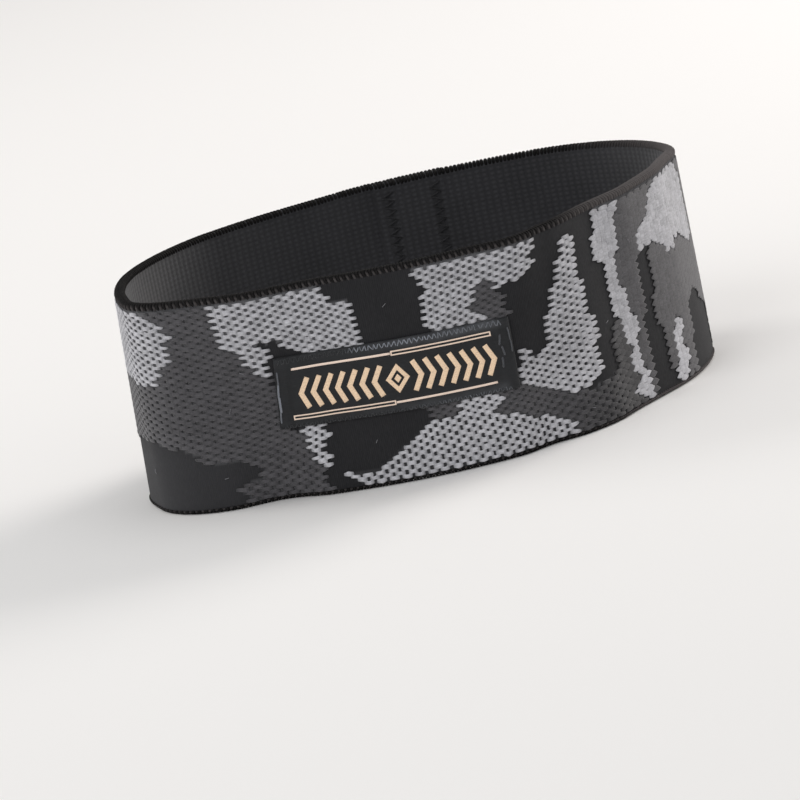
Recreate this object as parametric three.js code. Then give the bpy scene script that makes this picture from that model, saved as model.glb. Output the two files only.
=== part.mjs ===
import * as THREE from "three";

// A stretched loop of woven elastic, standing on its lower rim, with a small cloth label on its front.
// Millimetres, +Z up. The label faces -Y, and the lower rim lies at z = 0.

const BAND_WIDTH = 40; // from the lower rim to the upper rim
const CLOTH = 1.8; // thickness of the woven elastic
const STATION_STEP = 2.1; // spacing of the sections round the loop
const PATH_STEP = 0.25; // fine step along which the outline is worked out
const EASE = 3; // how far each bend spreads into the stretches beside it

// The outer face seen from above, anticlockwise from the leftmost point, where it heads straight
// towards the viewer. Each stretch has its length, and the angle in degrees that it turns through.
const START_HEADING = -90;
const STRETCHES = [
  { place: "left side", length: 14, turn: 11 },
  { place: "front left corner", length: 11.5, turn: 64 },
  { place: "flat left of the label", length: 32, turn: -1 },
  { place: "front, behind the label", length: 30, turn: 37 },
  { place: "bend right of the label", length: 9.5, turn: 16 },
  { place: "right shoulder", length: 10, turn: 10 },
  { place: "right side, fore half", length: 15, turn: 9 },
  { place: "right side, rear half", length: 24.5, turn: 8 },
  { place: "right edge", length: 10, turn: 26 },
  { place: "rear right", length: 38, turn: 76 },
  { place: "back", length: 72.3, turn: 52 },
  { place: "rear left", length: 43.7, turn: 52 },
];

// Soft dents. Each has its place along the loop, its half width, and how far the wall goes in at
// the upper and the lower rim. A value below 0 is a swelling.
const DENTS = [
  { at: 0, half: 18, upper: 0.5, lower: -1 },
  { at: 39, half: 14, upper: -2.6, lower: 0 },
  { at: 39, half: 10, upper: 0, lower: 2.4 },
  { at: 89, half: 9, upper: -1.8, lower: 0 },
  { at: 91, half: 8, upper: 0, lower: 1.6 },
  { at: 106, half: 10, upper: 0, lower: -0.8 },
  { at: 111, half: 14, upper: 1.3, lower: 0 },
  { at: 135, half: 18, upper: 0, lower: -1.2 },
  { at: 147, half: 10, upper: 1, lower: 0 },
];

// The woven edge: height from the nearer rim, and how far each face stands back there.
const SELVEDGE = [
  { up: 0, back: 0.5 },
  { up: 0.4, back: 0.12 },
  { up: 1.8, back: 0.12 },
  { up: 2.2, back: 0 },
];

// The join at the back: one end of the strip lies over the other, and its cut edge is a step.
const LAP = { start: 214, width: 14, rise: 1.3, edge: 0.35, ease: 14 };

// The label: its left end along the loop, and its lower edge above the lower rim. It lies a little
// crooked: its right end hangs lower, and its left end leans to the right for each millimetre up.
const LABEL = { start: 41.7, length: 44, foot: 13.5, height: 13.4, gap: 0.3 };
const LABEL_HANG = 0.9;
const LABEL_LEAN = 0.12;
// Its thickness, counted from either end, where the ribbon is folded under.
const LABEL_FOLD = [
  { along: 0, thick: 0.6 },
  { along: 0.35, thick: 1.05 },
  { along: 1.1, thick: 1.2 },
  { along: 2.4, thick: 1.15 },
  { along: 3, thick: 0.6 },
];
const LABEL_BEVEL = { up: 0.45, back: 0.2 }; // rounding of its long edges

const WEBBING_LOOK = { color: 0x404044, roughness: 0.92, metalness: 0 };
const LABEL_LOOK = { color: 0x232427, roughness: 0.6, metalness: 0 };

const radians = THREE.MathUtils.degToRad;
const clamp = THREE.MathUtils.clamp;
const smooth = (u) => THREE.MathUtils.smoothstep(u, 0, 1);

const LOOP = STRETCHES.reduce((sum, stretch) => sum + stretch.length, 0);

// Angle in degrees turned by the time the outline has gone s along the loop. A bend begins EASE
// before its own stretch and ends EASE after it, also across the start of the loop.
function turned(s) {
  let angle = 0;
  let start = 0;
  for (const { length, turn } of STRETCHES) {
    for (const lap of [-LOOP, 0, LOOP]) {
      angle += turn * clamp((s + lap - start + EASE) / (length + 2 * EASE), 0, 1);
    }
    start += length;
  }
  return angle;
}

// The outline as points with outward normals, closed by sharing out the small error at its end.
function tracePath() {
  const count = Math.round(LOOP / PATH_STEP);
  const step = LOOP / count;
  const offset = START_HEADING - turned(0);
  const points = [];
  const normals = [];
  const walker = new THREE.Vector2();
  for (let i = 0; i <= count; i += 1) {
    const heading = radians(offset + turned(i * step));
    points.push(walker.clone());
    normals.push(new THREE.Vector2(Math.sin(heading), -Math.cos(heading)));
    const ahead = radians(offset + turned((i + 0.5) * step));
    walker.x += step * Math.cos(ahead);
    walker.y += step * Math.sin(ahead);
  }
  const miss = points[count].clone();
  points.forEach((point, i) => point.addScaledVector(miss, -i / count));
  return { points, normals, step, count };
}

const path = tracePath();

// How far the wall goes in at s along the loop and z above the lower rim. The loop's start is no edge.
function dent(s, z) {
  const share = z / BAND_WIDTH;
  let depth = 0;
  for (const { at, half, upper, lower } of DENTS) {
    const away = s - at;
    const u = Math.abs(away - LOOP * Math.round(away / LOOP)) / half;
    if (u < 1) {
      depth += (lower + (upper - lower) * share) * 0.5 * (1 + Math.cos(Math.PI * u));
    }
  }
  return depth;
}

// The point at s along the loop and z above the lower rim, standing out from the outer face.
function facePoint(s, z, out) {
  const along = clamp(s / path.step, 0, path.count - 1e-6);
  const i = Math.floor(along);
  const t = along - i;
  const point = path.points[i].clone().lerp(path.points[i + 1], t);
  const normal = path.normals[i].clone().lerp(path.normals[i + 1], t).normalize();
  point.addScaledVector(normal, out - dent(s, z));
  return new THREE.Vector3(point.x, point.y, z);
}

// A closed body through rings that all have the same number of points. The rings run on round the
// loop, or end in a flat cap at each end.
function bodyThroughRings(rings, isLoop) {
  const size = rings[0].length;
  const positions = rings.flat().flatMap((point) => [point.x, point.y, point.z]);
  const index = [];
  const spans = isLoop ? rings.length : rings.length - 1;
  for (let i = 0; i < spans; i += 1) {
    const here = i * size;
    const next = ((i + 1) % rings.length) * size;
    for (let j = 0; j < size; j += 1) {
      const k = (j + 1) % size;
      index.push(here + j, next + j, next + k, here + j, next + k, here + k);
    }
  }
  if (!isLoop) {
    const last = (rings.length - 1) * size;
    for (let j = 1; j < size - 1; j += 1) {
      index.push(0, j, j + 1);
      index.push(last, last + j + 1, last + j);
    }
  }
  const geometry = new THREE.BufferGeometry();
  geometry.setAttribute("position", new THREE.Float32BufferAttribute(positions, 3));
  geometry.setIndex(index);
  geometry.computeVertexNormals();
  return geometry;
}

// How far the outer and the inner face rise at the join. Past the join the strip that lay outside
// comes back to the plain line.
function lapRise(s) {
  const end = LAP.start + LAP.width;
  const back = 1 - smooth((s - end) / LAP.ease);
  const outer = clamp((s - LAP.start) / LAP.edge, 0, 1) * back;
  const inner = clamp((s - end) / LAP.edge, 0, 1) * back;
  return { outer: outer * LAP.rise, inner: inner * LAP.rise };
}

function webbing() {
  const end = LAP.start + LAP.width;
  const count = Math.round(LOOP / STATION_STEP);
  const edges = [LAP.start, LAP.start + LAP.edge, end, end + LAP.edge];
  const stations = Array.from({ length: count }, (_, i) => (i * LOOP) / count)
    .filter((s) => edges.every((edge) => Math.abs(edge - s) > 2 * LAP.edge))
    .concat(edges)
    .sort((a, b) => a - b);
  const rows = [
    ...SELVEDGE.map(({ up, back }) => ({ z: up, back })),
    ...SELVEDGE.map(({ up, back }) => ({ z: BAND_WIDTH - up, back })).reverse(),
  ];
  const rings = stations.map((s) => {
    const rise = lapRise(s);
    const outer = rows.map(({ z, back }) => facePoint(s, z, rise.outer - back));
    const inner = rows.map(({ z, back }) => facePoint(s, z, rise.inner - CLOTH + back));
    return [...outer, ...inner.reverse()];
  });
  return bodyThroughRings(rings, true);
}

// The point that lies so far along the label from its left end and so far up from its lower edge.
function labelPoint(along, up, out) {
  const { start, length, foot, height } = LABEL;
  const share = along / length;
  const s = start + along + LABEL_LEAN * (up - height / 2) * (1 - share);
  return facePoint(s, foot + up - LABEL_HANG * share ** 1.5, out);
}

function label() {
  const { length, height, gap } = LABEL;
  const middle = [];
  const flat = length - 2 * LABEL_FOLD.at(-1).along;
  const spans = Math.round(flat / STATION_STEP);
  for (let i = 1; i < spans; i += 1) {
    const along = LABEL_FOLD.at(-1).along + (i * flat) / spans;
    middle.push({ along, thick: LABEL_FOLD.at(-1).thick });
  }
  const farEnd = LABEL_FOLD.map(({ along, thick }) => ({ along: length - along, thick })).reverse();
  const rings = [...LABEL_FOLD, ...middle, ...farEnd].map(({ along, thick }) => {
    const edge = gap + thick - LABEL_BEVEL.back;
    return [
      labelPoint(along, 0, gap),
      labelPoint(along, 0, edge),
      labelPoint(along, LABEL_BEVEL.up, gap + thick),
      labelPoint(along, height - LABEL_BEVEL.up, gap + thick),
      labelPoint(along, height, edge),
      labelPoint(along, height, gap),
    ];
  });
  return bodyThroughRings(rings, false);
}

function piece(name, geometry, look) {
  const mesh = new THREE.Mesh(geometry, new THREE.MeshStandardMaterial(look));
  mesh.name = name;
  return mesh;
}

const band = new THREE.Group();
band.add(piece("webbing", webbing(), WEBBING_LOOK));
band.add(piece("label", label(), LABEL_LOOK));

// The origin is below the middle of the whole band.
const middle = new THREE.Box3().setFromObject(band).getCenter(new THREE.Vector3());
band.position.set(-middle.x, -middle.y, 0);

export default band;
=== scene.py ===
import math
from collections import namedtuple

import bpy
import numpy as np
from bpy.props import FloatProperty, FloatVectorProperty, PointerProperty
from mathutils import Matrix, Vector


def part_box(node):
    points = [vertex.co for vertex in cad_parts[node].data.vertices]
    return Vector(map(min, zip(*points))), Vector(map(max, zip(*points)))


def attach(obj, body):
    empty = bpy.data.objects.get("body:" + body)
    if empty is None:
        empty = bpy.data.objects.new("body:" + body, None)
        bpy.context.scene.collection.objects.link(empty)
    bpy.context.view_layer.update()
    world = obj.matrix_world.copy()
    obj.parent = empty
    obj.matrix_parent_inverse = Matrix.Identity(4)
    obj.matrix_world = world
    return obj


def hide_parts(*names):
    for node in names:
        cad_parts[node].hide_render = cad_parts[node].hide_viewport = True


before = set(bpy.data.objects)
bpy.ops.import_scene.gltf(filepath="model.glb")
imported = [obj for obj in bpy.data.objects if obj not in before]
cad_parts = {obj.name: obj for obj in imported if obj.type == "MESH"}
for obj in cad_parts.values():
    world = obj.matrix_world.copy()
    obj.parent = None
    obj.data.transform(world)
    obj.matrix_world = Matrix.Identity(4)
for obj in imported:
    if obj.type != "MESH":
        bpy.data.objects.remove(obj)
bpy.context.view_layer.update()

bl_info = {
    "name": "Bicep band",
    "version": (1, 0, 0),
    "blender": (4, 5, 0),
    "location": "3D View > Sidebar > Bicep band",
    "description": "Dresses a loop of woven elastic with its figured weave, its selvedges and its label",
    "category": "Add Mesh",
}

BODY = "root"
WEBBING_SLOT = "woven_elastic"
LABEL_SLOT = "label_cloth"

# Tables and charts are in millimetres along and up the cloth. Meshes are written in metres.
MM = 0.001

# The band's form, as in its solid.
BAND_WIDTH = 40.0
CLOTH = 1.8
PATH_STEP = 0.25
EASE = 3.0
START_HEADING = -90.0

Stretch = namedtuple("Stretch", "place length turn")
STRETCHES = [
    Stretch("left side", 14, 11),
    Stretch("front left corner", 11.5, 64),
    Stretch("flat left of the label", 32, -1),
    Stretch("front, behind the label", 30, 37),
    Stretch("bend right of the label", 9.5, 16),
    Stretch("right shoulder", 10, 10),
    Stretch("right side, fore half", 15, 9),
    Stretch("right side, rear half", 24.5, 8),
    Stretch("right edge", 10, 26),
    Stretch("rear right", 38, 76),
    Stretch("back", 72.3, 52),
    Stretch("rear left", 43.7, 52),
]
LOOP = sum(stretch.length for stretch in STRETCHES)

# Soft dents: how far the wall goes in at the upper and the lower rim. Below 0 it swells.
Dent = namedtuple("Dent", "at half upper lower")
DENTS = [
    Dent(0, 18, 0.5, -1),
    Dent(39, 14, -2.6, 0),
    Dent(39, 10, 0, 2.4),
    Dent(89, 9, -1.8, 0),
    Dent(91, 8, 0, 1.6),
    Dent(106, 10, 0, -0.8),
    Dent(111, 14, 1.3, 0),
    Dent(135, 18, 0, -1.2),
    Dent(147, 10, 1, 0),
]

# The sewn join: the outer end of the strip begins at start, and covers the inner end for width.
Lap = namedtuple("Lap", "start width rise edge ease")
LAP = Lap(214, 14, 1.3, 0.35, 14)
LAP_END = LAP.start + LAP.width

# The label: its left end along the loop, and its lower edge above the lower rim. Its right end hangs
# lower, and its left end leans to the right, by lean for each millimetre up.
Label = namedtuple("Label", "start length foot height gap hang lean")
LABEL = Label(41.7, 44, 13.5, 13.4, 0.3, 0.9, 0.12)
# The webbing's floats reach this far under its edges.
UNDER_EDGE = 0.5

# The figured weave, charted patch by patch as (s, z). A later patch lies over an earlier one, and
# what no patch covers is the black ground. The figure repeats along the strip, and is broken only at
# the join. The chart's zero lies at CHART_ZERO.
CHART_ZERO = -0.9
CHART_REPEAT = 172.0
BLACK, GREY, LIGHT = "black", "grey", "light"
Patch = namedtuple("Patch", "yarn outline")
CHART = [
    Patch(GREY, [
        (-7, 38.6), (36, 38.6), (36.4, 31), (40, 25.8), (42.2, 22.4), (43.5, 21), (43.5, 13),
        (46, 12.6), (45.8, 9.5), (46.6, 7.5), (48.3, 5.6), (48.3, 4), (48.9, 2.5), (49.6, 1), (33, 1),
        (32.5, 2.5), (31.5, 3.5), (33.5, 4.5), (35.8, 5), (36, 6.6), (35.4, 8.2), (33.8, 8.9),
        (30, 8.8), (28, 9.2), (26, 10.2), (23, 11.8), (20, 12.8), (15, 13.5), (8, 13.6), (0, 13),
        (-8, 12), (-10, 17), (-8, 22), (-11, 28), (-9, 34)]),
    Patch(LIGHT, [
        (-4, 38.4), (19.8, 38.4), (20.2, 37.2), (21, 36.3), (23.6, 35.8), (24.9, 34.7), (25.1, 33.3),
        (23.2, 32.2), (24, 31.2), (24.3, 30), (23.3, 28.3), (21.6, 26.8), (21, 25.5), (20.5, 24.2),
        (14, 24.4), (6, 25), (-2, 25.6), (-4, 28), (-5.5, 33)]),
    Patch(LIGHT, [
        (33, 38.6), (54.8, 38.6), (55, 37.2), (56.1, 36.5), (55.2, 35.3), (56.2, 34.9), (59.8, 34.9),
        (59.8, 33), (60.1, 30), (60.3, 26), (51, 25.6), (48.5, 27), (47, 27.8), (45.4, 28.6),
        (45, 29.6), (43, 30.1), (41.8, 29.9), (41.9, 29.2), (43.6, 27.9), (43.4, 27.2), (42, 26.2),
        (42.1, 21.6), (41, 21.4), (40.3, 22.8), (40.2, 24), (38.8, 24.7), (38.3, 26), (37.5, 27.5),
        (36.5, 28.5), (34.8, 29.4), (34, 32), (33.5, 34), (33, 36)]),
    Patch(LIGHT, [
        (45.2, 13.8), (46, 11.8), (45.8, 10.8), (45.1, 9.6), (46.2, 8.5), (46.2, 7.6), (47.2, 6.6),
        (48.2, 6.1), (47.8, 4.6), (49.8, 4.6), (50.2, 9), (50.4, 10.7), (51, 11.6), (50.8, 13.8)]),
    Patch(GREY, [
        (79.5, 13.8), (79.5, 10), (84, 6), (94, 1), (119, 1), (118, 5), (117.5, 16), (115, 17.9),
        (113, 17), (112, 15.3), (110.6, 14), (110.5, 12), (111, 9.8), (107, 8.4), (102, 7.8), (99, 8.3),
        (94, 10), (91, 11.2), (88.5, 12.2), (87.3, 13.8)]),
    Patch(LIGHT, [
        (52.2, 3.5), (57, 3.4), (58.3, 4.2), (60.8, 5.8), (63.5, 7.4), (66.3, 9.2), (68.4, 10.5),
        (70, 10.8), (72.5, 10.3), (74.5, 10.7), (73.8, 11.9), (75, 12.8), (80.5, 12.8), (84.2, 10.8),
        (82.5, 9.7), (80.8, 8.9), (82.8, 8.4), (85, 8.6), (87, 7.6), (89, 6.6), (92, 5.6), (93.6, 4.6),
        (96.2, 3.3), (98.6, 1.6), (98, 1), (54.3, 1), (52.4, 2.4)]),
    Patch(GREY, [
        (79, 29.4), (82.5, 34), (84.2, 33.8), (85.3, 31.8), (85.9, 30.5), (87, 29.5), (86.6, 28),
        (87.2, 25.8), (80, 25.8)]),
    Patch(LIGHT, [
        (69.5, 38.6), (95.4, 38.6), (95.5, 36.8), (93.9, 35.8), (94.2, 34.6), (93.5, 33.2), (92, 32.9),
        (90.5, 31.9), (87, 32.2), (86.5, 31.5), (85.2, 31.5), (84.3, 32.5), (84, 33.6), (82.5, 33.1),
        (81.7, 32), (82.3, 30.4), (80, 29.4), (82.3, 28.2), (83.6, 26), (71.6, 26), (71.4, 28),
        (71.6, 31), (72.1, 34.5), (71.8, 36), (70.6, 36.8), (70.9, 37.8)]),
    Patch(GREY, [
        (68, 13.6), (68.6, 12.7), (69.5, 11.5), (71, 10.6), (74.4, 10.8), (73.8, 11.9), (75, 12.9),
        (75, 13.6)]),
    Patch(LIGHT, [
        (100.4, 35), (101.6, 36.2), (104, 36.3), (106.4, 35.2), (106, 33.6), (105.5, 32), (105, 28.6),
        (105.8, 27), (105.3, 25), (104.8, 21.5), (106.5, 20.2), (107, 16.4), (105.2, 15.2), (106.1, 14),
        (106.5, 10.4), (104.5, 9.6), (102, 8.3), (99, 8.1), (96.5, 8.7), (94, 9.9), (91, 11.1),
        (88.5, 12), (87.2, 13.2), (87, 15), (87.2, 20.6), (89.6, 19.8), (89.6, 18.6), (91, 17.6),
        (92.6, 17.4), (93.6, 18.6), (93.3, 23.4), (95.4, 24.4), (95.3, 26.6), (96.2, 27.7), (98, 28.6),
        (98.2, 32), (100.2, 32.6)]),
    Patch(GREY, [
        (119, 38.6), (137, 38.6), (137, 37.4), (134, 37.4), (131, 32), (126, 30.5), (124.3, 27),
        (123.5, 24.5), (122.8, 22), (123.5, 20), (124.3, 18), (123.3, 16), (122, 14.4), (122, 10),
        (121.5, 6), (122.5, 3), (123, 1), (119, 1), (118, 12), (117.4, 24), (118, 31)]),
    Patch(LIGHT, [
        (112.9, 38.6), (121.8, 38.6), (120.4, 36.5), (119.6, 35), (119.8, 33.5), (118.8, 32), (119, 30),
        (118, 28.5), (117.5, 26), (118, 22.5), (119.1, 20.8), (119.8, 16.5), (120, 13.5), (119.2, 10),
        (119.3, 8), (120.4, 6), (121, 4.2), (121.4, 1), (117.4, 1), (115.6, 2.1), (113.8, 4),
        (117, 4.7), (118, 5.5), (116.2, 7.5), (114.7, 9.2), (116.4, 10.6), (116, 12.5), (114.7, 14),
        (116, 15.6), (115.2, 17.8), (113, 18.4), (112.7, 22.5), (113.6, 26.6), (114.5, 28.2),
        (111.2, 29.8), (111.8, 33)]),
    Patch(GREY, [
        (129, 27.6), (137, 28), (162, 27), (166, 24.5), (168.5, 19), (166, 14), (168, 8), (165, 4),
        (166, 1), (129.8, 1), (129.3, 3.5), (128.4, 6), (128.5, 10.5), (127.4, 12.5), (127, 16),
        (128, 21), (128.2, 25.5)]),
    Patch(GREY, [
        (147, 38.6), (168, 38.6), (166, 33), (168, 27), (147, 27)]),
    Patch(LIGHT, [
        (136.4, 38.8), (152.3, 38.8), (153.6, 36), (153.6, 33.5), (154.4, 30), (153.8, 27),
        (153.6, 22.8), (152, 23.2), (147, 25), (144.5, 25.9), (142, 25.9), (140, 24.5), (136.5, 24.5),
        (134.5, 26.5), (132, 27.3), (129, 27.6), (126.5, 27.3), (124.4, 26), (124.2, 27.6),
        (125.5, 30.2), (127, 32), (129.5, 32.3), (131.5, 34), (133.4, 36.8), (134.4, 37.8),
        (137.4, 37.9)]),
    Patch(BLACK, [
        (139, 1), (139.2, 6), (140.6, 9.5), (141.2, 13.4), (143, 14.6), (145, 15), (148, 14.1),
        (151.5, 11), (155, 9.6), (157.4, 6), (157, 1)]),
    Patch(LIGHT, [
        (132.8, 14), (134.6, 12.8), (137, 10.8), (134.5, 9.2), (135, 7.5), (137, 5), (135, 2.9),
        (134.5, 1.1), (130.4, 1.1), (129.6, 2.4), (130.8, 5), (131.2, 9.6), (132.6, 11)]),
]


def value_prop(name, description, default, **more):
    return FloatProperty(name=name, description=description, default=default, **more)


def length_prop(name, description, default):
    """A length property in metres, from a default in millimetres."""
    return value_prop(name, description, default * MM, unit="LENGTH", precision=5)


def colour_prop(name, description, *screen):
    """A colour property in Blender's linear light, from a default as screen values from 0 to 255."""
    values = [channel / 255 for channel in screen]
    linear = tuple(v / 12.92 if v <= 0.04045 else ((v + 0.055) / 1.055) ** 2.4 for v in values)
    return FloatVectorProperty(name=name, description=description, default=linear, size=3,
                               subtype="COLOR", min=0, max=1)


class WebbingSettings(bpy.types.PropertyGroup):
    """Sizes and colours of the woven elastic."""

    ground_depth: length_prop("Ground depth", "How far the ground lies below the band's face", 0.12)
    column_pitch: length_prop("Column pitch", "Spacing of the columns where the band is stretched", 1.5)
    narrow_pitch: length_prop("Narrow pitch", "Spacing of the columns that the label holds together", 1.18)
    row_pitch: length_prop("Row pitch", "Height from one float to the next above it", 1.27)
    float_width: length_prop("Float width", "Width of one float, halfway along it", 0.6)
    float_height: length_prop("Float height", "How far a light float stands out", 0.24)
    float_length: value_prop("Float length", "Length of a float, in columns", 1.58, min=0.5)
    rib_width: length_prop("Rib width", "Width of a thread round a rim, at the narrow pitch", 0.5)
    light_colour: colour_prop("Light yarn", "Colour of the light figure yarn", 168, 168, 173)
    grey_colour: colour_prop("Grey yarn", "Colour of the dark grey figure yarn", 74, 73, 76)
    ground_colour: colour_prop("Ground", "Colour of the black ground", 41, 41, 43)
    rib_colour: colour_prop("Selvedge", "Colour of the threads along the rims", 63, 60, 60)
    reverse_colour: colour_prop("Reverse", "Colour of the plain inner face", 52, 52, 55)


class LabelSettings(bpy.types.PropertyGroup):
    """Sizes and colours of the label."""

    thickness: length_prop("Thickness", "Thickness of the ribbon where it lies single", 0.46)
    foil_thickness: length_prop("Foil thickness", "How far the metallic print stands out", 0.06)
    rule_width: length_prop("Rule width", "Width of the printed rules", 0.42)
    stroke_width: length_prop("Stroke width", "Width of the strokes of the printed ornament", 0.95)
    stitch_pitch: length_prop("Stitch pitch", "Spacing of the stitches along the long edges", 0.92)
    ribbon_colour: colour_prop("Ribbon", "Colour of the satin ribbon", 36, 37, 39)
    foil_colour: colour_prop("Foil", "Colour of the printed ornament", 255, 217, 184)
    rule_colour: colour_prop("Rules", "Colour of the printed rules", 250, 228, 214)
    stitch_colour: colour_prop("Stitches", "Colour of the stitches that hold the label", 120, 124, 132)


class StudioSettings(bpy.types.PropertyGroup):
    """The floor, the lights and the camera."""

    floor_colour: colour_prop("Floor", "Colour of the floor", 248, 247, 246)
    focal_length: value_prop("Focal length", "Lens, in millimetres, on a 36 mm sensor", 365.9, min=50)
    distance: value_prop("Distance", "From the camera to the band's left corner", 1.5, unit="LENGTH")
    elevation: value_prop("Elevation", "Angle of the camera above the floor", math.radians(12),
                          subtype="ANGLE")
    roll: value_prop("Roll", "Tilt of the camera about its own axis", math.radians(12.02), subtype="ANGLE")
    light_scale: value_prop("Light", "Strength of all lamps together", 1, min=0)
    world_strength: value_prop("Surroundings", "Strength of the even light around", 0.36, min=0)


def mm(value):
    """A property's metres as the millimetres of the charts."""
    return value / MM


def smooth(u):
    u = np.clip(u, 0, 1)
    return u * u * (3 - 2 * u)


def turned(s):
    """Degrees turned by the time the outline has gone s along the loop, each bend eased into the next."""
    angle = np.zeros_like(s, float)
    start = 0
    for stretch in STRETCHES:
        for lap in (-LOOP, 0, LOOP):
            share = (s + lap - start + EASE) / (stretch.length + 2 * EASE)
            angle += stretch.turn * np.clip(share, 0, 1)
        start += stretch.length
    return angle


def dent(s, z):
    """How far the wall goes in at s along the loop and z above the lower rim."""
    depth = np.zeros(np.broadcast(s, z).shape)
    for d in DENTS:
        away = s - d.at
        u = np.minimum(np.abs(away - LOOP * np.round(away / LOOP)) / d.half, 1)
        depth += (d.lower + (d.upper - d.lower) * z / BAND_WIDTH) * 0.5 * (1 + np.cos(np.pi * u))
    return depth


def rise(s):
    """How far the outer and the inner face stand out at the join, where two layers lie together."""
    back = 1 - smooth((s - LAP_END) / LAP.ease)
    return [np.clip((s - start) / LAP.edge, 0, 1) * back * LAP.rise for start in (LAP.start, LAP_END)]


class Cloth:
    """The band's faces as surfaces, on which points are given in millimetres and found in metres: s
    runs round the loop from its leftmost point, anticlockwise seen from above, z goes up from the
    lower rim, and out stands away from the face."""

    def __init__(self):
        count = round(LOOP / PATH_STEP)
        self.s = np.linspace(0, LOOP, count + 1)
        step = LOOP / count
        offset = START_HEADING - turned(0)
        heading = np.radians(offset + turned(self.s))
        ahead = np.radians(offset + turned(self.s[:-1] + step / 2))
        steps = step * np.stack([np.cos(ahead), np.sin(ahead)], 1)
        walk = np.concatenate([np.zeros((1, 2)), np.cumsum(steps, 0)])
        self.path = walk - walk[-1] * (self.s / LOOP)[:, None]
        self.normal = np.stack([np.sin(heading), -np.cos(heading)], 1)
        # The middle of this outline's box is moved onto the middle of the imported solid's.
        self.shift = np.zeros(3)
        own = self.outer(*np.meshgrid(self.s, [0, BAND_WIDTH]), 0).reshape(-1, 3)
        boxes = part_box("webbing"), (own.min(0), own.max(0))
        solid, outline = ((np.array(low) + high) / 2 for low, high in boxes)
        self.shift = (solid - outline) * (1, 1, 0)

    def across(self, s, z, out, share):
        """Points between the outer face, share 0, and the inner face, share 1. out counts from the
        outer face."""
        s, z, out = np.broadcast_arrays(np.asarray(s, float) % LOOP, z, out)
        outer, inner = rise(s)
        x, y, nx, ny = (np.interp(s, self.s, line) for line in (*self.path.T, *self.normal.T))
        scale = (out + outer + (inner - outer) * share - dent(s, z)) / np.hypot(nx, ny)
        return np.stack([x + nx * scale, y + ny * scale, z], -1) * MM + self.shift

    def outer(self, s, z, out):
        """Points that stand out from the outer face."""
        return self.across(s, z, out, 0)

    def inner(self, s, z, out):
        """Points that stand in from the inner face, towards the middle of the loop."""
        return self.across(s, z, -CLOTH - out, 1)


cloth = Cloth()


def on_label(along, up, out):
    """A point along the label from its left end and up from its lower edge, standing out from the
    webbing's face, in metres."""
    share = np.clip(along / LABEL.length, 0, 1)
    s = LABEL.start + along + LABEL.lean * (up - LABEL.height / 2) * (1 - share)
    return cloth.outer(s, LABEL.foot + up - LABEL.hang * share ** 1.5, out)


def under_label(s, z):
    """Which points of the webbing the label hides so far in that no float is made there."""
    share = np.clip((s - LABEL.start) / LABEL.length, 0, 1)
    up = z - LABEL.foot + LABEL.hang * share ** 1.5
    along = s - LABEL.start - LABEL.lean * (up - LABEL.height / 2) * (1 - share)
    return np.minimum(*from_border(along, up)) > UNDER_EDGE


def from_border(along, up):
    """How far points of the label lie in from its nearer end, and from its nearer long edge."""
    return np.minimum(along, LABEL.length - along), np.minimum(up, LABEL.height - up)


class Socket:
    """A node's output, on which shader sums are written as Python expressions."""

    def __init__(self, finish, source):
        self.finish = finish
        self.source = source

    def _sum(self, operation, *terms):
        return self.finish.node("ShaderNodeMath", {"operation": operation}, dict(enumerate(terms)))

    def __add__(self, other):
        return self._sum("ADD", self, other)

    def __sub__(self, other):
        return self._sum("SUBTRACT", self, other)

    def __rsub__(self, other):
        return self._sum("SUBTRACT", other, self)

    def __mul__(self, other):
        return self._sum("MULTIPLY", self, other)

    __radd__ = __add__
    __rmul__ = __mul__

    def wave(self):
        """The value's sine, brought between 0 and 1."""
        return self._sum("SINE", self) * 0.5 + 0.5

    def part(self, axis):
        """One axis of a vector."""
        return self.finish.node("ShaderNodeSeparateXYZ", None, {0: self}, axis)


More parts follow.
